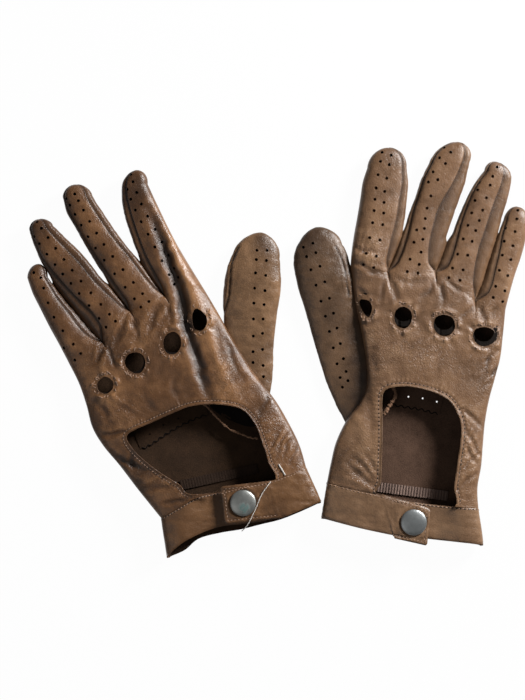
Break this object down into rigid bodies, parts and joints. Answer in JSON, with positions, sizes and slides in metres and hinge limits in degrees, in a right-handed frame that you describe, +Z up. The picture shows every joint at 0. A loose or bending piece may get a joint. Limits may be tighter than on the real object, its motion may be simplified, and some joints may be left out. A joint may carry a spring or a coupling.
{
  "type": "pair of driving gloves",
  "caption": "Pair of unlined leather driving gloves lying flat, with finger gussets, knuckle holes, an open back window and a snapped wrist strap on each.",
  "frame": {"origin": "on the table, under the middle of the box round the pair", "axes": "+Z up from the table, through the palms to the backs of the hands; +Y towards the fingertips; +X from the left glove to the right glove"},
  "size_m": [0.299, 0.2476, 0.0186],
  "materials": {
    "tan_leather": "fine-grained mid-brown nappa, lightly polished and worn",
    "dark_leather": "the same leather on the side of the fingers and inside, darker and duller",
    "elastic": "ribbed dark brown elastic tape",
    "steel": "dulled silver-grey plating"
  },
  "bodies": {
    "left_glove": {"left_back_panel": "tan_leather", "left_palm_panel": "tan_leather", "left_thumb": "tan_leather", "left_fourchette_1": "dark_leather", "left_fourchette_2": "dark_leather", "left_fourchette_3": "dark_leather", "left_knuckle_facings": "dark_leather", "left_palm_patch": "dark_leather", "left_wrist_elastic": "elastic", "left_cuff_band": "tan_leather", "left_snap_stud": "steel", "left_snap_post": "steel"},
    "left_strap": {"left_strap": "tan_leather", "left_snap_cap": "steel", "left_snap_socket": "steel"},
    "right_glove": {"right_back_panel": "tan_leather", "right_palm_panel": "tan_leather", "right_thumb": "tan_leather", "right_fourchette_1": "dark_leather", "right_fourchette_2": "dark_leather", "right_fourchette_3": "dark_leather", "right_knuckle_facings": "dark_leather", "right_palm_patch": "dark_leather", "right_wrist_elastic": "elastic", "right_cuff_band": "tan_leather", "right_snap_stud": "steel", "right_snap_post": "steel"},
    "right_strap": {"right_strap": "tan_leather", "right_snap_cap": "steel", "right_snap_socket": "steel"}
  },
  "joints": [
    {"name": "left_strap_fold", "type": "hinge", "parent": "left_glove", "child": "left_strap", "pos_m": [-0.004, -0.0775, 0.016], "axis": [-0.2753, 0.9614, 0], "range_deg": [0, 150]},
    {"name": "right_glove_lift", "type": "slide", "parent": "left_glove", "child": "right_glove", "axis": [0, 0, 1], "range_m": [0, 0.05]},
    {"name": "right_strap_fold", "type": "hinge", "parent": "right_glove", "child": "right_strap", "pos_m": [0.0618, -0.086, 0.016], "axis": [0.2929, -0.9561, 0], "range_deg": [0, 150]}
  ]
}
